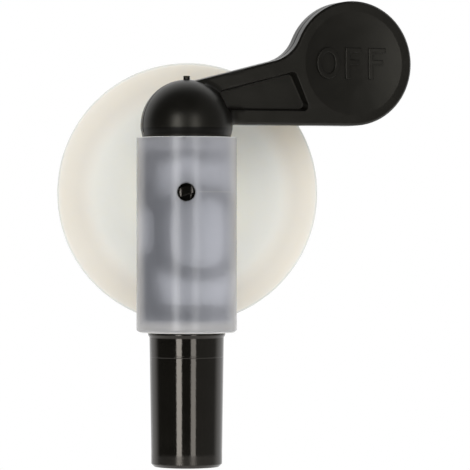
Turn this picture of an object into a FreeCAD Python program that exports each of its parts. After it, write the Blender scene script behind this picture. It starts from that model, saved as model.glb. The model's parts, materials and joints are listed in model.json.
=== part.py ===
import FreeCAD
import Part
import math
import os

from FreeCAD import Vector

# Container drain tap: a moulded body with a ported lever plug turning in its barrel.
# Millimetres. +Z up, +Y into the container, -Y towards the user.
# The origin is the centre of the inlet thread, in the plane where the gasket meets the container.

# Barrel of the body
barrel_r = 12.0
barrel_wall = 2.0
barrel_above_inlet = 13.1
barrel_length = 46.5
barrel_top_chamfer = 0.4
barrel_bottom_chamfer = 0.6
barrel_to_flange = 20.0

# Retaining lip at the barrel's lower end
lip_height = 3.5
lip_depth = 0.95
lip_bottom_chamfer = 0.3

# Tell-tale hole through the barrel's front wall, tapered by its mould pin
telltale_outer_r = 2.2
telltale_inner_r = 2.05

# Flange, neck and inlet stub
flange_r = 31.9
flange_thickness = 2.8
flange_edge_chamfer = 0.5
neck_r = 7.2
neck_flare = 1.5
inlet_drop = 9.0
inlet_passage_r = 4.2
thread_r = 16.6
thread_length = 13.0
thread_end_chamfer = 1.0
relief_depth = 0.6
stub_wall = 3.1

# Flange gasket
gasket_thickness = 3.0
gasket_width = 9.7
gasket_bore_clearance = 0.1

# Fits between the plug and the barrel
running_clearance = 0.05
head_clearance = 0.2
lip_clearance = 0.3
bead_bite = 0.2

# Core of the plug and its sealing lands
pocket_depth = 1.1
band_drop = 3.3
band_height = 1.7
lower_band_height = 3.1
ring_outer_half_width = 9.15
ring_outer_half_height = 10.6
ring_outer_corner = 7.2
ring_side_land = 2.5
ring_end_land = 1.9
cheek_half_width = 4.6
cheek_foot_half_width = 7.2
cheek_foot_height = 10.0
port_width = 7.0
port_height = 11.5

# Spout
spout_bore_r = 6.7
spout_length = 32.0
spout_top_r = 8.9
spout_end_r = 8.45
spout_end_chamfer = 0.7
spout_bore_chamfer = 0.5
bore_roof_r = 3.0
bore_roof_height = 4.5
bead_height = 0.4
bead_slope_height = 0.6

# Domed head
head_skirt_height = 1.8
head_skirt_r = 11.0
head_seat_r = 10.6
dome_height = 13.6
gate_nub_r = 0.77
gate_nub_height = 0.9

# Lever: arm and round paddle, in the plane of the parting line
lever_thickness = 6.5
lever_edge_chamfer = 0.5
lever_turn_deg = 19.5
paddle_reach = 41.8
paddle_r = 15.1
arm_underside_height = 2.96
arm_top_height = 12.87
arm_top_slope_deg = 14.4
arm_to_paddle_fillet = 9.3
arm_root_fillet = 2.0
dish_r = 12.6
dish_depth = 0.9

# Recess in each side of the arm
recess_depth = 2.4
recess_wall_lean = 0.5
recess_bottom_margin = 3.4
recess_top_margin = 3.6
recess_start = 7.0
recess_start_lean = 1.0
recess_top_end = 26.6
recess_bottom_end = 30.6
recess_corner = 1.2

# Closest that two places count as one
same_place = 1e-4

# Derived places
flange_back_y = -gasket_thickness
flange_front_y = flange_back_y - flange_thickness
plug_axis_y = flange_front_y - barrel_to_flange
barrel_top_z = barrel_above_inlet
barrel_bottom_z = barrel_top_z - barrel_length
barrel_bore_r = barrel_r - barrel_wall
lip_top_z = barrel_bottom_z + lip_height
lip_r = barrel_bore_r - lip_depth
stub_bore_r = thread_r - stub_wall
relief_r = thread_r - relief_depth
gasket_bore_r = relief_r + gasket_bore_clearance
gasket_r = gasket_bore_r + gasket_width
land_r = barrel_bore_r - running_clearance
core_r = land_r - pocket_depth
head_seat_z = barrel_top_z + head_clearance
skirt_z = head_seat_z + head_skirt_height
dome_rise = dome_height - head_skirt_height
dome_r = (dome_rise * dome_rise + head_skirt_r * head_skirt_r) / (2 * dome_rise)
dome_centre_z = skirt_z + dome_rise - dome_r
upper_band_z = head_seat_z - band_drop - band_height
upper_band_top_z = upper_band_z + band_height
lower_band_z = lip_top_z + head_clearance
spout_top_z = barrel_bottom_z - head_clearance
spout_end_z = barrel_bottom_z - spout_length
arm_underside_z = head_seat_z + arm_underside_height
paddle_z = arm_underside_z + paddle_r
half_lever = lever_thickness / 2

UP = Vector(0, 0, 1)
INWARD = Vector(0, 1, 0)
OUTWARD = Vector(0, -1, 0)
SIDEWAYS = Vector(1, 0, 0)
ORIGIN = Vector(0, 0, 0)


def turned(outline, axis):
    """Solid turned about an axis through the origin, from (radius, distance along it) points."""
    corners = [SIDEWAYS * radius + axis * along for radius, along in outline]
    face = Part.Face(Part.makePolygon(corners + corners[:1]))
    return face.revolve(ORIGIN, axis, 360)


def rod_along_y(radius, y_start, y_end, z=0.0):
    return Part.makeCylinder(radius, y_end - y_start, Vector(0, y_start, z), INWARD)


def on_plug_axis(shape):
    """Move a shape from the origin to the axis that the barrel and the plug share."""
    shape.translate(INWARD * plug_axis_y)
    return shape


def rounded_polygon(corners, radius):
    """Face in the XZ plane with straight sides and the same round at each (x, z) corner."""
    points = [Vector(x, 0, z) for x, z in corners]
    rounds = []
    for i, corner in enumerate(points):
        to_last = (points[i - 1] - corner).normalize()
        to_next = (points[(i + 1) % len(points)] - corner).normalize()
        half_angle = to_last.getAngle(to_next) / 2
        setback = radius / math.tan(half_angle)
        to_middle = (to_last + to_next).normalize() * (radius / math.sin(half_angle) - radius)
        rounds.append(Part.Arc(corner + to_last * setback, corner + to_middle, corner + to_next * setback))
    edges = [arc.toShape() for arc in rounds]
    for i, arc in enumerate(rounds):
        if rounds[i - 1].EndPoint.distanceToPoint(arc.StartPoint) > same_place:
            edges.append(Part.makeLine(rounds[i - 1].EndPoint, arc.StartPoint))
    return Part.Face(Part.Wire(Part.__sortEdges__(edges)))


def rounded_rectangle(half_width, half_height, corner, z):
    corners = [(-half_width, z - half_height), (half_width, z - half_height),
               (half_width, z + half_height), (-half_width, z + half_height)]
    return rounded_polygon(corners, corner)


def make_barrel():
    """Plain outside of the barrel."""
    barrel = turned([
        (0, barrel_top_z),
        (barrel_r, barrel_top_z),
        (barrel_r, barrel_bottom_z + barrel_bottom_chamfer),
        (barrel_r - barrel_bottom_chamfer, barrel_bottom_z),
        (0, barrel_bottom_z),
    ], UP)
    return on_plug_axis(barrel)


def barrel_cavity():
    """Space inside the barrel: the plug's bore and the hole through the retaining lip."""
    cavity = turned([
        (0, barrel_top_z),
        (barrel_bore_r + barrel_top_chamfer, barrel_top_z),
        (barrel_bore_r, barrel_top_z - barrel_top_chamfer),
        (barrel_bore_r, lip_top_z),
        (lip_r, lip_top_z - lip_depth),
        (lip_r, barrel_bottom_z + lip_bottom_chamfer),
        (lip_r + lip_bottom_chamfer, barrel_bottom_z),
        (0, barrel_bottom_z),
    ], UP)
    return on_plug_axis(cavity)


def telltale_hole():
    """Tapered pin hole in line with the flange's centre, run a wall's width past the wall both ways."""
    taper = telltale_outer_r - telltale_inner_r
    inner_end = INWARD * (plug_axis_y - barrel_bore_r + barrel_wall)
    length = 3 * barrel_wall
    return Part.makeCone(telltale_inner_r - taper, telltale_outer_r + taper, length, inner_end, OUTWARD)


def make_flange():
    """Round flange with the plain undercut behind it and the threaded stub, still solid."""
    return turned([
        (0, flange_front_y),
        (flange_r - flange_edge_chamfer, flange_front_y),
        (flange_r, flange_front_y + flange_edge_chamfer),
        (flange_r, flange_back_y - flange_edge_chamfer),
        (flange_r - flange_edge_chamfer, flange_back_y),
        (relief_r, flange_back_y),
        (relief_r, 0),
        (thread_r, 0),
        (thread_r, thread_length - thread_end_chamfer),
        (thread_r - thread_end_chamfer, thread_length),
        (0, thread_length),
    ], INWARD)


def make_neck():
    """Neck from the barrel to the flange, low on the flange and flared where it meets it."""
    neck = turned([
        (0, plug_axis_y),
        (neck_r, plug_axis_y),
        (neck_r, flange_front_y - neck_flare),
        (neck_r + neck_flare, flange_front_y),
        (0, flange_front_y),
    ], INWARD)
    neck.translate(UP * -inlet_drop)
    return neck


def make_tap_body():
    """Barrel, neck, flange and inlet stub, moulded in one piece."""
    body = make_flange().fuse([make_neck(), make_barrel()])
    stub_bore = rod_along_y(stub_bore_r, flange_back_y, thread_length)
    passage = rod_along_y(inlet_passage_r, plug_axis_y, flange_back_y, -inlet_drop)
    return body.cut([barrel_cavity(), stub_bore, passage, telltale_hole()]).removeSplitter()


def make_flange_gasket():
    """Ring captive in the undercut; its inner corners are cut back enough to clear the thread."""
    lead_in_r = gasket_bore_r + relief_depth
    return turned([
        (gasket_bore_r, flange_back_y + relief_depth),
        (lead_in_r, flange_back_y),
        (gasket_r, flange_back_y),
        (gasket_r, 0),
        (lead_in_r, 0),
        (gasket_bore_r, -relief_depth),
    ], INWARD)


def raised_lands(face):
    """Lands on the front and back of the core where a face in the XZ plane is thrown onto it."""
    through = face.extrude(INWARD * (2 * barrel_r))
    through.translate(OUTWARD * barrel_r)
    height = upper_band_top_z - lower_band_z
    foot = UP * lower_band_z
    sleeve = Part.makeCylinder(land_r, height, foot, UP)
    sleeve = sleeve.cut(Part.makeCylinder(core_r - pocket_depth, height, foot, UP))
    return through.common(sleeve)


def ring_lands():
    """Closed ring lands, front and back, that seal round the inlet passage when the tap is shut."""
    outer = rounded_rectangle(ring_outer_half_width, ring_outer_half_height, ring_outer_corner, -inlet_drop)
    inner = rounded_rectangle(ring_outer_half_width - ring_side_land, ring_outer_half_height - ring_end_land,
                              ring_outer_corner - ring_end_land, -inlet_drop)
    return raised_lands(outer.cut(inner).Faces[0])


def cheek_lands():
    """Upright lands at the port and opposite it, spread at the foot to meet the lower band."""
    foot_z = lower_band_z + cheek_foot_height
    outline = [(-cheek_foot_half_width, lower_band_z), (cheek_foot_half_width, lower_band_z),
               (cheek_half_width, foot_z), (cheek_half_width, upper_band_top_z),
               (-cheek_half_width, upper_band_top_z), (-cheek_half_width, foot_z)]
    corners = [Vector(x, 0, z) for x, z in outline]
    cheeks = raised_lands(Part.Face(Part.makePolygon(corners + corners[:1])))
    cheeks.rotate(ORIGIN, UP, 90)
    return cheeks


def core_and_spout():
    """Turned form of the plug below its head: core, bands, snap bead and tapered spout."""
    lip_neck_r = lip_r - lip_clearance
    bead_r = lip_r + bead_bite
    bead_z = spout_top_z - bead_height
    return turned([
        (0, dome_centre_z),
        (core_r, dome_centre_z),
        (core_r, upper_band_top_z),
        (land_r, upper_band_top_z),
        (land_r, upper_band_z),
        (core_r, upper_band_z),
        (core_r, lower_band_z + lower_band_height),
        (land_r, lower_band_z + lower_band_height),
        (land_r, lower_band_z),
        (lip_neck_r, lower_band_z - (land_r - lip_neck_r)),
        (lip_neck_r, spout_top_z),
        (bead_r, spout_top_z),
        (bead_r, bead_z),
        (spout_top_r, bead_z - bead_slope_height),
        (spout_end_r, spout_end_z + spout_end_chamfer),
        (spout_end_r - spout_end_chamfer, spout_end_z),
        (0, spout_end_z),
    ], UP)


def make_head():
    """Dome over the barrel, one arc from crown to skirt, with the skirt that bears on the barrel's rim."""
    centre = UP * dome_centre_z
    skirt = Vector(head_skirt_r, 0, skirt_z)
    to_flank = (UP + (skirt - centre).normalize()).normalize()
    crown = centre + UP * dome_r
    seat_edge = Vector(head_seat_r, 0, head_seat_z)
    seat_middle = UP * head_seat_z
    edges = [Part.Arc(crown, centre + to_flank * dome_r, skirt).toShape(), Part.makeLine(skirt, seat_edge),
             Part.makeLine(seat_edge, seat_middle), Part.makeLine(seat_middle, crown)]
    head = Part.Face(Part.Wire(edges)).revolve(ORIGIN, UP, 360)
    head.rotate(ORIGIN, UP, 180)
    return head


def arm_top_at(x):
    """Height of the arm's upper edge at a distance from the plug's axis."""
    return head_seat_z + arm_top_height + x * math.tan(math.radians(arm_top_slope_deg))


def lever_outline():
    """Side view of the lever: straight underside, rising top, hollow blend, round paddle."""
    slope = math.radians(arm_top_slope_deg)
    along = SIDEWAYS * math.cos(slope) + UP * math.sin(slope)
    above = UP * math.cos(slope) - SIDEWAYS * math.sin(slope)
    root_top = UP * arm_top_at(0)
    paddle = Vector(paddle_reach, 0, paddle_z)
    to_paddle_centre = paddle - root_top
    rise = arm_to_paddle_fillet - to_paddle_centre.dot(above)
    reach = paddle_r + arm_to_paddle_fillet
    blend_start = root_top + along * (to_paddle_centre.dot(along) - math.sqrt(reach * reach - rise * rise))
    blend_centre = blend_start + above * arm_to_paddle_fillet
    to_paddle = (paddle - blend_centre).normalize()
    blend_end = blend_centre + to_paddle * arm_to_paddle_fillet
    blend_middle = blend_centre + (to_paddle - above).normalize() * arm_to_paddle_fillet
    underside_root = UP * arm_underside_z
    underside_end = Vector(paddle_reach, 0, arm_underside_z)
    tip = paddle + SIDEWAYS * paddle_r
    return [Part.makeLine(underside_root, underside_end), Part.Arc(underside_end, tip, blend_end).toShape(),
            Part.Arc(blend_end, blend_middle, blend_start).toShape(), Part.makeLine(blend_start, root_top),
            Part.makeLine(root_top, underside_root)]


def recess_outline(inset, y):
    """Outline that follows the arm's edges, drawn in by an inset all round and set at a depth."""
    bottom_z = arm_underside_z + recess_bottom_margin + inset
    top_margin = (recess_top_margin + inset) / math.cos(math.radians(arm_top_slope_deg))
    start = recess_start + inset
    top_end = recess_top_end - inset
    corners = [(start + recess_start_lean, bottom_z), (recess_bottom_end - inset, bottom_z),
               (top_end, arm_top_at(top_end) - top_margin), (start, arm_top_at(start) - top_margin)]
    outline = rounded_polygon(corners, recess_corner)
    outline.translate(INWARD * y)
    return outline


def arm_recess(side):
    """Pocket with leaning walls in one side of the arm, open outwards past the dome's flank."""
    rim = recess_outline(0, side * half_lever)
    floor = recess_outline(recess_wall_lean, side * (half_lever - recess_depth))
    pocket = Part.makeLoft([rim.OuterWire, floor.OuterWire], True, True)
    return [pocket, rim.extrude(INWARD * (side * dome_r))]


def paddle_dish(side):
    """Shallow spherical hollow in one side of the paddle."""
    ball_r = (dish_r * dish_r + dish_depth * dish_depth) / (2 * dish_depth)
    ball_y = side * (half_lever - dish_depth + ball_r)
    return Part.makeSphere(ball_r, Vector(paddle_reach, ball_y, paddle_z))


def edges_of_sides(handle, at_dome):
    """Edges in the planes of the lever's two sides: those on the dome, or all the others."""
    found = []
    for edge in handle.Edges:
        box = edge.BoundBox
        furthest_out = max(-box.YMin, box.YMax)
        if edge.Degenerated or box.YLength > same_place or abs(furthest_out - half_lever) > same_place:
            continue
        middle = edge.valueAt((edge.FirstParameter + edge.LastParameter) / 2)
        if (math.hypot(middle.x, middle.y) < head_skirt_r) == at_dome:
            found.append(edge)
    return found


def make_handle():
    """Dome with its flat arm and paddle, blended and softened, hollowed alike on both sides."""
    plate = Part.Face(Part.Wire(lever_outline())).extrude(INWARD * lever_thickness)
    plate.translate(OUTWARD * half_lever)
    handle = make_head().fuse(plate)
    handle = handle.makeChamfer(lever_edge_chamfer, edges_of_sides(handle, at_dome=False))
    handle = handle.makeFillet(arm_root_fillet, edges_of_sides(handle, at_dome=True))
    return handle.cut([paddle_dish(-1), paddle_dish(1)] + arm_recess(-1) + arm_recess(1))


def make_gate_nub():
    """Broken-off moulding gate on the crown of the dome."""
    return Part.makeCylinder(gate_nub_r, dome_r + gate_nub_height, UP * dome_centre_z, UP)


def water_way():
    """Hollow of the plug: the bore from the spout to its roof under the dome, and the port into it."""
    end = UP * spout_end_z
    mouth = Part.makeCone(spout_bore_r + spout_bore_chamfer, spout_bore_r, spout_bore_chamfer, end, UP)
    bore = Part.makeCylinder(spout_bore_r, skirt_z - spout_end_z, end, UP)
    roof = Part.makeCone(spout_bore_r, bore_roof_r, bore_roof_height, UP * skirt_z, UP)
    half_width = port_width / 2
    port = rounded_rectangle(half_width, port_height / 2, half_width, -inlet_drop).extrude(INWARD * land_r)
    port.rotate(ORIGIN, UP, 90)
    return [mouth, bore, roof, port]


def make_lever_plug():
    """Lever, dome, ported core and spout, moulded in one piece and turned to the lever's place."""
    plug = core_and_spout().fuse([ring_lands(), cheek_lands(), make_handle(), make_gate_nub()])
    plug = plug.cut(water_way()).removeSplitter()
    plug.rotate(ORIGIN, UP, lever_turn_deg)
    return on_plug_axis(plug)


def main():
    os.makedirs("parts", exist_ok=True)
    nodes = {
        "tap_body": make_tap_body(),
        "lever_plug": make_lever_plug(),
        "flange_gasket": make_flange_gasket(),
    }
    for name, shape in nodes.items():
        print(name, shape.isValid(), len(shape.Solids), round(shape.Volume, 2))
        shape.exportStep("parts/" + name + ".step")


main()
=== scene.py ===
import json
import math

import bmesh
import bpy
from mathutils import Matrix, Vector


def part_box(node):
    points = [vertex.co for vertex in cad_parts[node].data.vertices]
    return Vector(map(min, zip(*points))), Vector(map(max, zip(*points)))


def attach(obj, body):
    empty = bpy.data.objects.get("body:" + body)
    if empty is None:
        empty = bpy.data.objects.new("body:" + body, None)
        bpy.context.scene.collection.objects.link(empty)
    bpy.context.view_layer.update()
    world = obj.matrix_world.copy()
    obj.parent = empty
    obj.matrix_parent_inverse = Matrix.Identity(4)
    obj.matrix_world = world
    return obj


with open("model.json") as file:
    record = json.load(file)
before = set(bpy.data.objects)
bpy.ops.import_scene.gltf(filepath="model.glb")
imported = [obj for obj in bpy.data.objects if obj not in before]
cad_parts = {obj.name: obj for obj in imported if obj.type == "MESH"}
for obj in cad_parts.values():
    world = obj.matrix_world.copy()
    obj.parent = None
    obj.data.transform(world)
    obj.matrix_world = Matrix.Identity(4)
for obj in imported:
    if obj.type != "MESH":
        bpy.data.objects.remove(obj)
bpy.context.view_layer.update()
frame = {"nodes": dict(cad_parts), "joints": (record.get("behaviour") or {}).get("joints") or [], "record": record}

MM = 0.001

# Places read from the frame, in metres
body_low, body_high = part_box("tap_body")
plug_low, plug_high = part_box("lever_plug")
gasket_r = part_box("flange_gasket")[1].x
mounts = {mount["name"]: mount for mount in frame["record"]["mounts"]}
plug_axis_y = frame["joints"][0]["pos_m"][1]
barrel_r = plug_axis_y - body_low.y
barrel_bottom_z = body_low.z
spout_end_z = plug_low.z
thread_r = mounts["inlet_thread"]["dims"]["r_mm"] * MM
thread_length = body_high.y
flange_r = body_high.x

# Sizes of the solids that their boxes don't give
barrel_top_z = 13.1 * MM
lip_top_z = barrel_bottom_z + 3.5 * MM
hole_r = 2.2 * MM
lever_turn = math.radians(19.5)
half_lever = 3.25 * MM
paddle_reach = 41.8 * MM
paddle_r = 15.1 * MM
paddle_z = plug_high.z - paddle_r
dish_r = 12.6 * MM
dish_depth = 0.9 * MM

# Marks of the moulds
weld_z = 0.05 * MM
spout_ring_z = -39.1 * MM

# Angles above which an edge stays sharp in the shading
cad_crease_deg = 28
letter_crease_deg = 35

# Letters in the dish: name, shape, where it starts along the dish (the oval: its centre) and width
letter_height = 7.6 * MM
letter_stroke = 1.20 * MM
letter_proud = 0.45 * MM
letter_sunk = 0.2 * MM
letter_rounding = 0.10 * MM
oval_sides = 56
middle_bar_share = 0.86
middle_bar_lift = 0.04
letters = (
    ("letter_O", "oval", -6.5 * MM, 6.1 * MM),
    ("letter_F_1", "barred", -2.0 * MM, 4.1 * MM),
    ("letter_F_2", "barred", 4.0 * MM, 4.3 * MM),
)

# Pipe thread cut from the inlet stub
thread_pitch = 2.309 * MM
thread_depth = 1.30 * MM
groove_mouth = 1.75 * MM
groove_floor = 0.35 * MM
groove_over = 0.3 * MM
thread_start = 0.9 * MM
thread_steps_per_turn = 64
thread_run_in_turns = 0.35

# Natural plastic: its shine, how far light goes into the solid parts, and how milky the barrel's wall is
natural_roughness = 0.25
solid_glow = 0.85
glow_depth = 3.5 * MM
wall_alpha = 0.62
wall_milk = 0.60
plastic_ior = 1.5

# Colours used more than once
near_black = (0.01, 0.011, 0.013, 1.0)
plain_white = (1.0, 1.0, 1.0, 1.0)

# Stage, in metres: a round floor that fades to white between two distances from the tap
floor_z = -0.12
floor_r = 0.45
floor_sides = 96
fade_start = 0.10
fade_end = 0.40

# Light: levels of the world in front of and behind the tap, and upright strips seen in reflections
even_light = 1.05
back_light = 1.12
strip_distance = 1.6
strip_height = 1.2
strip_centre_z = 0.15
# Name, azimuth in degrees, width and radiance of each strip
strips = (
    ("left_strip", -23.3, 0.46, 7.0),
    ("right_strip", 21.4, 0.43, 4.2),
)

# Camera: the photograph's size and scale in the plane of the plug's axis, and the pixel straight ahead
photo_px = 470
mm_per_px = 0.2388
camera_distance = 752 * MM
straight_ahead_px = (208.0, 220.0)
eye = (5.1 * MM, plug_axis_y - camera_distance, -6.6 * MM)


# Node trees


class Tree:
    """A node tree, with short calls for the few kinds of node used here."""

    def __init__(self, node_tree, output_kind):
        self.nodes = node_tree.nodes
        self.links = node_tree.links
        self.nodes.clear()
        self.output = self.add(output_kind)

    def add(self, kind, **settings):
        node = self.nodes.new(kind)
        for key, value in settings.items():
            setattr(node, key, value)
        return node

    def wire(self, value, socket):
        """Link an output to a socket, or set the socket to a plain value."""
        if isinstance(value, bpy.types.NodeSocket):
            self.links.new(value, socket)
        else:
            socket.default_value = value

    def math(self, operation, a, b=0.0, clamp=False):
        node = self.add("ShaderNodeMath", operation=operation, use_clamp=clamp)
        self.wire(a, node.inputs[0])
        self.wire(b, node.inputs[1])
        return node.outputs[0]

    def all_of(self, *masks):
        """Product of the masks."""
        result = masks[0]
        for mask in masks[1:]:
            result = self.math("MULTIPLY", result, mask)
        return result

    def any_of(self, *masks):
        """Largest of the masks."""
        result = masks[0]
        for mask in masks[1:]:
            result = self.math("MAXIMUM", result, mask)
        return result

    def distance(self, a, b):
        """Length of the two-dimensional vector (a, b)."""
        squares = self.math("ADD", self.math("MULTIPLY", a, a), self.math("MULTIPLY", b, b))
        return self.math("SQRT", squares)

    def step(self, value, low, high, low_value=0.0, high_value=1.0):
        """Smooth change from low_value to high_value as value goes from low to high."""
        node = self.add("ShaderNodeMapRange", interpolation_type="SMOOTHSTEP")
        self.wire(value, node.inputs["Value"])
        node.inputs["From Min"].default_value = low
        node.inputs["From Max"].default_value = high
        node.inputs["To Min"].default_value = low_value
        node.inputs["To Max"].default_value = high_value
        return node.outputs[0]

    def fall(self, value, low, high):
        """1 below low, 0 above high."""
        return self.step(value, low, high, 1.0, 0.0)

    def band(self, value, centre, half_width, edge):
        """1 within half_width of centre, falling to 0 over edge."""
        away = self.math("ABSOLUTE", self.math("SUBTRACT", value, centre))
        return self.fall(away, half_width, half_width + edge)

    def mix(self, factor, a, b, kind="RGBA"):
        """Mix of two colours, numbers (FLOAT) or vectors (VECTOR)."""
        node = self.add("ShaderNodeMix", data_type=kind)
        self.wire(factor, node.inputs["Factor"])
        self.wire(a, node.inputs["A"])
        self.wire(b, node.inputs["B"])
        return node.outputs["Result"]

    def noise(self, place, scale, detail=2.0, roughness=0.5, distortion=0.0):
        node = self.add("ShaderNodeTexNoise")
        self.wire(place, node.inputs["Vector"])
        node.inputs["Scale"].default_value = scale
        node.inputs["Detail"].default_value = detail
        node.inputs["Roughness"].default_value = roughness
        node.inputs["Distortion"].default_value = distortion
        return node.outputs["Fac"]

    def bump(self, height, distance, normal):
        node = self.add("ShaderNodeBump")
        node.inputs["Distance"].default_value = distance
        self.wire(height, node.inputs["Height"])
        self.wire(normal, node.inputs["Normal"])
        return node.outputs[0]

    def soft_corners(self, radius):
        """Normal that rounds edges and corners over the radius."""
        node = self.add("ShaderNodeBevel", samples=6)
        self.wire(radius, node.inputs["Radius"])
        return node.outputs[0]

    def turned_normal(self, a, b):
        """Normal of a surface turned about an upright axis, from the place (a, b) round that axis."""
        behind = self.add("ShaderNodeNewGeometry").outputs["Backfacing"]
        towards = self.math("SUBTRACT", 1.0, self.math("MULTIPLY", behind, 2.0))
        outwards = self.add("ShaderNodeCombineXYZ")
        self.wire(self.math("MULTIPLY", a, towards), outwards.inputs[0])
        self.wire(self.math("MULTIPLY", b, towards), outwards.inputs[1])
        in_world = self.add("ShaderNodeVectorTransform", vector_type="NORMAL")
        self.wire(outwards.outputs[0], in_world.inputs[0])
        unit = self.add("ShaderNodeVectorMath", operation="NORMALIZE")
        self.wire(in_world.outputs[0], unit.inputs[0])
        return unit.outputs[0]

    def place(self, kind="Object"):
        """Coordinates and their x, y and z; the object's own coordinates move with it."""
        coordinates = self.add("ShaderNodeTexCoord").outputs[kind]
        split = self.add("ShaderNodeSeparateXYZ")
        self.wire(coordinates, split.inputs[0])
        return coordinates, split.outputs[0], split.outputs[1], split.outputs[2]

    def shader(self, kind, **values):
        """Shader whose inputs are given by name, with underscores for spaces."""
        node = self.add(kind)
        for key, value in values.items():
            self.wire(value, node.inputs[key.replace("_", " ")])
        return node

    def principled(self, **values):
        return self.shader("ShaderNodeBsdfPrincipled", **values)

    def blend(self, factor, a, b):
        """Mix of two shaders."""
        node = self.add("ShaderNodeMixShader")
        self.wire(factor, node.inputs[0])
        self.wire(a.outputs[0], node.inputs[1])
        self.wire(b.outputs[0], node.inputs[2])
        return node

    def show(self, shader):
        self.wire(shader.outputs[0], self.output.inputs["Surface"])


def new_material(name):
    material = bpy.data.materials.new(name)
    material.use_nodes = True
    return material, Tree(material.node_tree, "ShaderNodeOutputMaterial")


# Natural plastic of the body


class BodyZones:
    """Masks that say in which part of the body a point lies."""

    def __init__(self, tree):
        self.place, self.x, self.y, self.z = tree.place()
        self.behind_plug = tree.math("SUBTRACT", self.y, plug_axis_y)
        self.from_inlet = tree.distance(self.x, self.z)
        from_plug = tree.distance(self.x, self.behind_plug)
        wall = tree.fall(from_plug, barrel_r + 0.05 * MM, barrel_r + 0.6 * MM)
        self.below_top = tree.fall(self.z, barrel_top_z - 0.15 * MM, barrel_top_z - 0.05 * MM)
        above_bottom = tree.step(self.z, barrel_bottom_z + 0.1 * MM, barrel_bottom_z + 0.3 * MM)
        self.barrel = tree.all_of(wall, self.below_top, above_bottom)
        self.outside = tree.step(from_plug, barrel_r - 1.4 * MM, barrel_r - 0.8 * MM)
        self.milky = tree.all_of(self.barrel, self.outside)
        at_front = tree.fall(self.y, plug_axis_y - barrel_r * 0.7, plug_axis_y - barrel_r * 0.6)
        # painted shade: the hole's wall and a thin rim round it, painted near black
        in_hole = tree.fall(self.from_inlet, hole_r + 0.07 * MM, hole_r + 0.19 * MM)
        # painted light: lighter round the hole, in the bore's contact shade
        near_hole = tree.fall(self.from_inlet, hole_r + 0.65 * MM, hole_r + 2.25 * MM)
        self.hole = tree.all_of(at_front, in_hole)
        self.painted_light_round_hole = tree.all_of(at_front, near_hole)


def flange_colour(tree, zones):
    """Warm white: lightest over the gasket, where light is painted in to offset the gasket's shade, greyer along
    the rim.
    """
    cloud = tree.noise(zones.place, 90.0, 3.0, 0.6)
    # painted light: the plate is lighter over the gasket, to offset the shade the gasket casts into it
    painted_light_over_gasket = tree.mix(cloud, (0.95, 0.905, 0.82, 1.0), (0.97, 0.925, 0.845, 1.0))
    elsewhere = tree.mix(cloud, (0.79, 0.76, 0.70, 1.0), (0.82, 0.79, 0.73, 1.0))
    rim = tree.step(zones.from_inlet, flange_r - 0.55 * MM, flange_r - 0.25 * MM)
    elsewhere = tree.mix(rim, elsewhere, (0.66, 0.67, 0.64, 1.0))
    before_back = tree.fall(zones.y, -0.6 * MM, -0.1 * MM)
    within_gasket = tree.fall(zones.from_inlet, gasket_r - 3.4 * MM, gasket_r + 1.4 * MM)
    return tree.mix(tree.all_of(before_back, within_gasket), elsewhere, painted_light_over_gasket)


def painted_bore_shade(tree, zones):
    """Painted contact shade: dark where the plug's lands touch the bore, light where there is a gap behind the
    wall, with painted light easing it to the right (more towards the top), at the far left and round the hole.
    """
    # painted contact shade: near black where the plug's lands lie close behind the bore
    contact = tree.add("ShaderNodeAmbientOcclusion", samples=16, inside=True)
    contact.inputs["Distance"].default_value = 2.0 * MM
    open_gap = tree.step(contact.outputs["AO"], 0.08, 0.40)
    # painted light: the contact shade eased to the right, more towards the top, and a little at the far left
    less_shade_top = tree.step(zones.z, 4.0 * MM, 8.5 * MM, 0.13, 0.36)
    less_shade_right = tree.all_of(tree.step(zones.x, -2.0 * MM, 8.0 * MM), less_shade_top)
    less_shade_left = tree.step(zones.x, -9.0 * MM, -5.5 * MM, 0.07, 0.0)
    lip = tree.fall(zones.z, lip_top_z - 1.2 * MM, lip_top_z + 0.2 * MM)
    mouth = tree.step(zones.z, barrel_top_z - 3.0 * MM, barrel_top_z - 1.8 * MM)
    gap = tree.any_of(open_gap, less_shade_right, less_shade_left, zones.painted_light_round_hole, lip, mouth)
    return tree.mix(gap, near_black, (0.83, 0.84, 0.875, 1.0))


def painted_light_wall_colour(tree, zones):
    """Grey wall with painted light, paler to the right, the top, the edges and the foot, and the weld line by the
    hole.
    """
    # painted light: paler to the right and towards the top
    right = tree.step(zones.x, 2.0 * MM, 7.5 * MM, 0.0, 0.52)
    top = tree.step(zones.z, 0.0, 7.0 * MM, 0.0, 0.32)
    # painted light: paler towards the edges and the foot
    edge = tree.step(tree.math("ABSOLUTE", zones.x), barrel_r * 0.78, barrel_r * 0.98)
    foot = tree.fall(zones.z, lip_top_z - 2.0 * MM, lip_top_z)
    beside_hole = tree.step(zones.x, hole_r + 0.35 * MM, hole_r + 1.25 * MM)
    weld = tree.all_of(tree.band(zones.z, weld_z, 0.07 * MM, 0.08 * MM), beside_hole)
    colour = tree.mix(tree.math("ADD", right, top), (0.38, 0.395, 0.45, 1.0), (0.88, 0.89, 0.98, 1.0))
    colour = tree.mix(tree.any_of(edge, foot), colour, (0.95, 0.92, 0.89, 1.0))
    return tree.mix(weld, colour, (1.0, 0.99, 0.97, 1.0))


def body_normal(tree, zones):
    """True round of the barrel's wall, softened corners elsewhere, both slightly uneven."""
    above_foot = tree.step(zones.z, barrel_bottom_z + 0.7 * MM, barrel_bottom_z + 0.9 * MM)
    upright = tree.all_of(above_foot, zones.below_top, zones.milky)
    true_round = tree.turned_normal(zones.x, zones.behind_plug)
    smoothed = tree.mix(upright, tree.soft_corners(0.25 * MM), true_round, "VECTOR")
    fine = tree.noise(zones.place, 900.0, 3.0, 0.6)
    flow = tree.noise(zones.place, 60.0, 2.0, 0.5, 0.6)
    return tree.bump(flow, 0.012 * MM, tree.bump(fine, 0.004 * MM, smoothed))


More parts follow.
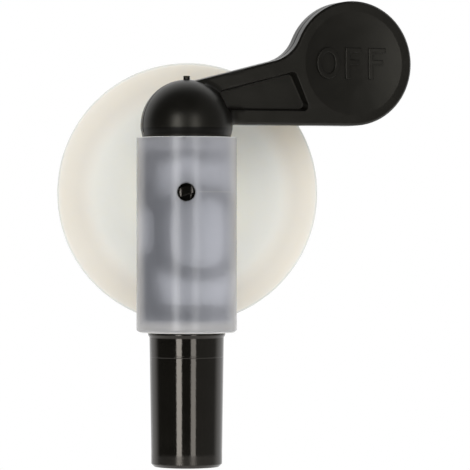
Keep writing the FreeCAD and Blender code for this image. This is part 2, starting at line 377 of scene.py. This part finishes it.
def natural_plastic():
    """Milky polyethylene: thin over the barrel, where the dark plug shows, and solid elsewhere."""
    material, tree = new_material("natural_plastic")
    zones = BodyZones(tree)
    barrel = tree.mix(zones.outside, painted_bore_shade(tree, zones), painted_light_wall_colour(tree, zones))
    # painted shade: the hole's wall and rim painted near black
    barrel = tree.mix(zones.hole, barrel, near_black)
    colour = tree.mix(zones.barrel, flange_colour(tree, zones), barrel)
    normal = body_normal(tree, zones)
    solid = tree.math("SUBTRACT", 1.0, zones.barrel)
    skin = tree.principled(Base_Color=colour, Normal=normal, Roughness=natural_roughness,
                           Subsurface_Weight=tree.math("MULTIPLY", solid, solid_glow),
                           Subsurface_Radius=(1.0, 0.95, 0.85), Subsurface_Scale=glow_depth,
                           Alpha=tree.step(zones.milky, 0.0, 1.0, 1.0, wall_alpha))
    milk = tree.shader("ShaderNodeBsdfTranslucent", Color=(0.94, 0.945, 0.97, 1.0), Normal=normal)
    gloss = tree.shader("ShaderNodeBsdfGlossy", Roughness=natural_roughness, Normal=normal)
    gleam = tree.shader("ShaderNodeFresnel", IOR=plastic_ior)
    glossy_milk = tree.blend(gleam.outputs[0], milk, gloss)
    tree.show(tree.blend(tree.math("MULTIPLY", zones.milky, wall_milk), skin, glossy_milk))
    return material


# Black plastic of the lever plug


class PlugZones:
    """Masks that say in which part of the lever plug a point lies."""

    def __init__(self, tree):
        self.place, x, y, z = tree.place()
        behind_axis = tree.math("SUBTRACT", y, plug_axis_y)
        along_x = tree.math("MULTIPLY", x, -math.sin(lever_turn))
        along_y = tree.math("MULTIPLY", behind_axis, math.cos(lever_turn))
        across = tree.math("ADD", along_x, along_y)
        above = tree.step(z, barrel_top_z + 1.0 * MM, barrel_top_z + 1.2 * MM)
        self.seam = tree.band(across, 0.0, 0.06 * MM, 0.10 * MM)
        self.parting = tree.all_of(above, tree.band(across, 0.0, 0.22 * MM, 0.15 * MM))
        self.skirt = tree.band(z, barrel_top_z + 1.4 * MM, 0.7 * MM, 0.3 * MM)
        self.spout = tree.fall(z, barrel_top_z - 0.2 * MM, barrel_top_z)
        self.cut_end = tree.fall(z, spout_end_z + 2.5 * MM, spout_end_z + 3.5 * MM)
        self.ring = tree.band(z, spout_ring_z, 0.1 * MM, 0.15 * MM)
        from_axis = tree.distance(x, behind_axis)
        self.arm_root = tree.all_of(above, tree.band(from_axis, barrel_r, 1.4 * MM, 1.0 * MM))


def plug_roughness(tree, zones, flow):
    """Satin above the barrel, glossy on the spout and duller at its cut end."""
    satin = tree.step(flow, 0.3, 0.75, 0.30, 0.37)
    gloss = tree.step(flow, 0.3, 0.75, 0.07, 0.10)
    dulled = tree.math("MULTIPLY", zones.cut_end, 0.5)
    glossy_part = tree.math("SUBTRACT", zones.spout, dulled, clamp=True)
    return tree.mix(glossy_part, satin, gloss, "FLOAT")


def plug_normal(tree, zones):
    """Soft corners, softest at the arm's root, with fine grain and the mould's raised lines."""
    fine = tree.noise(zones.place, 1400.0, 3.0, 0.65)
    corner_r = tree.step(zones.arm_root, 0.0, 1.0, 0.35 * MM, 1.8 * MM)
    grain = tree.bump(fine, 0.010 * MM, tree.soft_corners(corner_r))
    lines = tree.math("ADD", zones.seam, tree.math("MULTIPLY", zones.ring, 0.4))
    return tree.bump(lines, 0.10 * MM, grain)


def black_plastic():
    """Black polyethylene: satin lever and dome, glossy spout, dull parting line."""
    material, tree = new_material("black_plastic")
    zones = PlugZones(tree)
    flow = tree.noise(zones.place, 110.0, 3.0, 0.55, 1.2)
    colour = tree.mix(flow, (0.0040, 0.0037, 0.0028, 1.0), (0.0058, 0.0052, 0.0040, 1.0))
    sheen = tree.mix(zones.spout, (0.54, 0.52, 0.46, 1.0), (1.0, 0.93, 0.84, 1.0))
    sheen = tree.mix(zones.skirt, sheen, (0.15, 0.15, 0.15, 1.0))
    skin = tree.principled(Base_Color=colour, Roughness=plug_roughness(tree, zones, flow),
                           Normal=plug_normal(tree, zones), Specular_Tint=sheen)
    dull = tree.shader("ShaderNodeBsdfDiffuse", Color=(0.01, 0.01, 0.009, 1.0))
    tree.show(tree.blend(tree.math("MULTIPLY", zones.parting, 0.85), skin, dull))
    return material


def white_rubber():
    """Plain white gasket rubber."""
    material, tree = new_material("white_rubber")
    place = tree.place()[0]
    cloud = tree.noise(place, 200.0, 3.0, 0.6)
    colour = tree.mix(cloud, (0.70, 0.68, 0.62, 1.0), (0.78, 0.76, 0.70, 1.0))
    normal = tree.bump(tree.noise(place, 1600.0, 2.0), 0.006 * MM, tree.soft_corners(0.2 * MM))
    tree.show(tree.principled(Base_Color=colour, Roughness=0.55, Normal=normal))
    return material


def white_stage():
    """Pale floor that fades to the white background away from the tap."""
    material, tree = new_material("white_stage")
    place, x, y = tree.place()[:3]
    away = tree.distance(x, tree.math("SUBTRACT", y, plug_axis_y))
    colour = tree.mix(tree.noise(place, 3.0), (0.90, 0.90, 0.90, 1.0), (0.93, 0.93, 0.93, 1.0))
    lit = tree.principled(Base_Color=colour, Roughness=0.9)
    white = tree.shader("ShaderNodeEmission")
    seen = tree.add("ShaderNodeLightPath").outputs["Is Camera Ray"]
    tree.show(tree.blend(tree.all_of(seen, tree.step(away, fade_start, fade_end)), lit, white))
    return material


# Pieces


def paint(piece, material):
    piece.data.materials.clear()
    piece.data.materials.append(material)


def smooth(piece, angle_deg):
    """Shade smooth except across edges sharper than the angle."""
    bpy.context.view_layer.objects.active = piece
    piece.select_set(True)
    bpy.ops.object.shade_smooth_by_angle(angle=math.radians(angle_deg))
    piece.select_set(False)


def mesh_piece(name, vertices, faces):
    mesh = bpy.data.meshes.new(name)
    mesh.from_pydata(vertices, [], faces)
    mesh.update()
    piece = bpy.data.objects.new(name, mesh)
    bpy.context.scene.collection.objects.link(piece)
    return piece


def face_outwards(piece):
    mesh = bmesh.new()
    mesh.from_mesh(piece.data)
    bmesh.ops.recalc_face_normals(mesh, faces=mesh.faces)
    mesh.to_mesh(piece.data)
    mesh.free()


def on_lever_face(along, up, proud):
    """Point over the dish in the lever's front side, in the row frame."""
    hollow = dish_depth * (1 - (along * along + up * up) / (dish_r * dish_r))
    local = Vector((paddle_reach + along, -half_lever + hollow - proud, paddle_z + up))
    turned = Matrix.Rotation(lever_turn, 3, "Z") @ local
    return turned + Vector((0, plug_axis_y, 0))


def oval_letter(name, centre, width):
    """Upright oval ring that stands on the hollow of the dish."""
    outline = []
    for inset in (0, letter_stroke):
        for i in range(oval_sides):
            turn = 2 * math.pi * i / oval_sides
            along = centre + (width / 2 - inset) * math.cos(turn)
            outline.append((along, (letter_height / 2 - inset) * math.sin(turn)))
    points = [on_lever_face(along, up, letter_proud) for along, up in outline]
    points += [on_lever_face(along, up, -letter_sunk) for along, up in outline]
    outer, inner, outer_foot, inner_foot = (oval_sides * row for row in range(4))
    faces = []
    for i in range(oval_sides):
        j = (i + 1) % oval_sides
        faces.append((outer + i, outer + j, inner + j, inner + i))
        faces.append((outer_foot + i, outer_foot + j, outer + j, outer + i))
        faces.append((inner + i, inner + j, inner_foot + j, inner_foot + i))
        faces.append((inner_foot + i, inner_foot + j, outer_foot + j, outer_foot + i))
    return mesh_piece(name, points, faces)


def barred_letter(name, left, width):
    """An F from quads, so that it can follow the hollow of the dish."""
    top = letter_height / 2
    bar_low = middle_bar_lift * letter_height - letter_stroke / 2
    bar_high = bar_low + letter_stroke
    columns = [left, left + letter_stroke, left + width * middle_bar_share, left + width]
    rows = [-top, -top / 2, bar_low, bar_high, top - letter_stroke, top]
    filled = {(0, r) for r in range(5)} | {(1, 2), (1, 4), (2, 4)}
    index = {}
    points = []

    def corner(c, r, level):
        key = (c, r, level)
        if key not in index:
            index[key] = len(points)
            points.append(on_lever_face(columns[c], rows[r], level))
        return index[key]

    faces = []
    for c, r in sorted(filled):
        ring = [(c, r), (c + 1, r), (c + 1, r + 1), (c, r + 1)]
        faces.append([corner(a, b, letter_proud) for a, b in ring])
        faces.append([corner(a, b, -letter_sunk) for a, b in reversed(ring)])
        neighbours = [(c, r - 1), (c + 1, r), (c, r + 1), (c - 1, r)]
        for side, beyond in enumerate(neighbours):
            if beyond not in filled:
                a, b = ring[side], ring[(side + 1) % 4]
                faces.append([corner(*a, letter_proud), corner(*a, -letter_sunk),
                              corner(*b, -letter_sunk), corner(*b, letter_proud)])
    return mesh_piece(name, points, faces)


def add_letters(material):
    """The word in the dish, which rides on the plug."""
    shapes = {"oval": oval_letter, "barred": barred_letter}
    for name, shape, place, width in letters:
        piece = shapes[shape](name, place, width)
        face_outwards(piece)
        rounding = piece.modifiers.new("rounding", "BEVEL")
        rounding.width = letter_rounding
        rounding.segments = 2
        rounding.limit_method = "ANGLE"
        rounding.angle_limit = math.radians(50)
        paint(piece, material)
        smooth(piece, letter_crease_deg)
        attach(piece, "plug")


def groove_section(centre, root):
    """Corners of the groove's section, as radius and place along the inlet."""
    half = (groove_mouth / 2) * (1 + groove_over / thread_depth)
    edge = thread_r + groove_over
    return [(edge, centre - half), (root, centre - groove_floor / 2),
            (root, centre + groove_floor / 2), (edge, centre + half)]


def thread_cutter():
    """Helical groove that runs in over its first part of a turn and out at the stub's end."""
    turns = (thread_length + thread_pitch - thread_start) / thread_pitch
    steps = int(turns * thread_steps_per_turn)
    points = []
    faces = []
    for i in range(steps + 1):
        turned = i / thread_steps_per_turn
        turn = 2 * math.pi * turned
        root = thread_r - thread_depth * min(1.0, turned / thread_run_in_turns)
        for radius, along in groove_section(thread_start + thread_pitch * turned, root):
            points.append((radius * math.cos(turn), along, radius * math.sin(turn)))
        if i:
            a, b = 4 * (i - 1), 4 * i
            for k in range(4):
                n = (k + 1) % 4
                faces.append((a + k, a + n, b + n, b + k))
    last = 4 * steps
    faces.append((3, 2, 1, 0))
    faces.append((last, last + 1, last + 2, last + 3))
    cutter = mesh_piece("thread_cutter", points, faces)
    face_outwards(cutter)
    cutter.hide_render = True
    cutter.hide_viewport = True
    return cutter


def cut_thread(body):
    groove = body.modifiers.new("thread", "BOOLEAN")
    groove.operation = "DIFFERENCE"
    groove.solver = "EXACT"
    groove.object = thread_cutter()


# Stage, light and camera


def make_stage(material):
    """Round floor below the tap, which hangs from its inlet and rests on nothing."""
    points = []
    for i in range(floor_sides):
        turn = 2 * math.pi * i / floor_sides
        points.append((floor_r * math.cos(turn), plug_axis_y + floor_r * math.sin(turn), floor_z))
    floor = mesh_piece("floor", points, [tuple(range(floor_sides))])
    paint(floor, material)


def strip_light(name, azimuth_deg, width, radiance):
    """Upright lamp seen only in reflections; azimuth 0 is the camera's side, positive to its right."""
    azimuth = math.radians(azimuth_deg)
    back = Vector((math.sin(azimuth), -math.cos(azimuth), 0))
    data = bpy.data.lights.new(name, "AREA")
    data.shape = "RECTANGLE"
    data.size = width
    data.size_y = strip_height
    data.energy = radiance * math.pi * width * strip_height
    lamp = bpy.data.objects.new(name, data)
    bpy.context.scene.collection.objects.link(lamp)
    lamp.location = Vector((0, plug_axis_y, strip_centre_z)) + back * strip_distance
    lamp.rotation_mode = "QUATERNION"
    lamp.rotation_quaternion = (-back).to_track_quat("-Z", "Y")
    lamp.visible_diffuse = False


def make_world():
    """Even soft light; reflections see white behind the tap and a dim room in front of it."""
    world = bpy.data.worlds.new("studio")
    world.use_nodes = True
    tree = Tree(world.node_tree, "ShaderNodeOutputWorld")
    x, y, z = tree.place("Generated")[1:]
    rays = tree.add("ShaderNodeLightPath").outputs
    dim_room = tree.step(x, 0.2, 0.6, 0.05, 0.24)
    mirrored = tree.mix(tree.step(y, 0.08, 0.5), dim_room, 1.0, "FLOAT")
    from_behind = tree.step(y, -0.7, 0.5, even_light, back_light)
    from_above = tree.step(z, -0.3, 0.7, 0.99, 1.05)
    from_right = tree.step(x, -0.6, 0.8, 0.97, 1.10)
    even = tree.all_of(from_behind, from_above, from_right)
    level = tree.mix(rays["Is Diffuse Ray"], mirrored, even, "FLOAT")
    lit = tree.shader("ShaderNodeBackground", Color=plain_white, Strength=level)
    plain = tree.shader("ShaderNodeBackground", Color=plain_white)
    tree.show(tree.blend(rays["Is Camera Ray"], lit, plain))
    bpy.context.scene.world = world


def make_camera():
    data = bpy.data.cameras.new("camera")
    data.sensor_width = 36.0
    data.lens = data.sensor_width * (camera_distance / MM) / (photo_px * mm_per_px)
    data.shift_x = (photo_px / 2 - straight_ahead_px[0]) / photo_px
    data.shift_y = -(photo_px / 2 - straight_ahead_px[1]) / photo_px
    data.clip_start = 0.01
    camera = bpy.data.objects.new("camera", data)
    bpy.context.scene.collection.objects.link(camera)
    camera.location = eye
    camera.rotation_euler = (math.radians(90), 0, 0)
    bpy.context.scene.camera = camera


black = black_plastic()
paint(frame["nodes"]["tap_body"], natural_plastic())
paint(frame["nodes"]["lever_plug"], black)
paint(frame["nodes"]["flange_gasket"], white_rubber())
for node in frame["nodes"].values():
    smooth(node, cad_crease_deg)
cut_thread(frame["nodes"]["tap_body"])
add_letters(black)

make_stage(white_stage())
make_world()
for strip in strips:
    strip_light(*strip)
make_camera()

bpy.context.scene.view_settings.view_transform = "Standard"
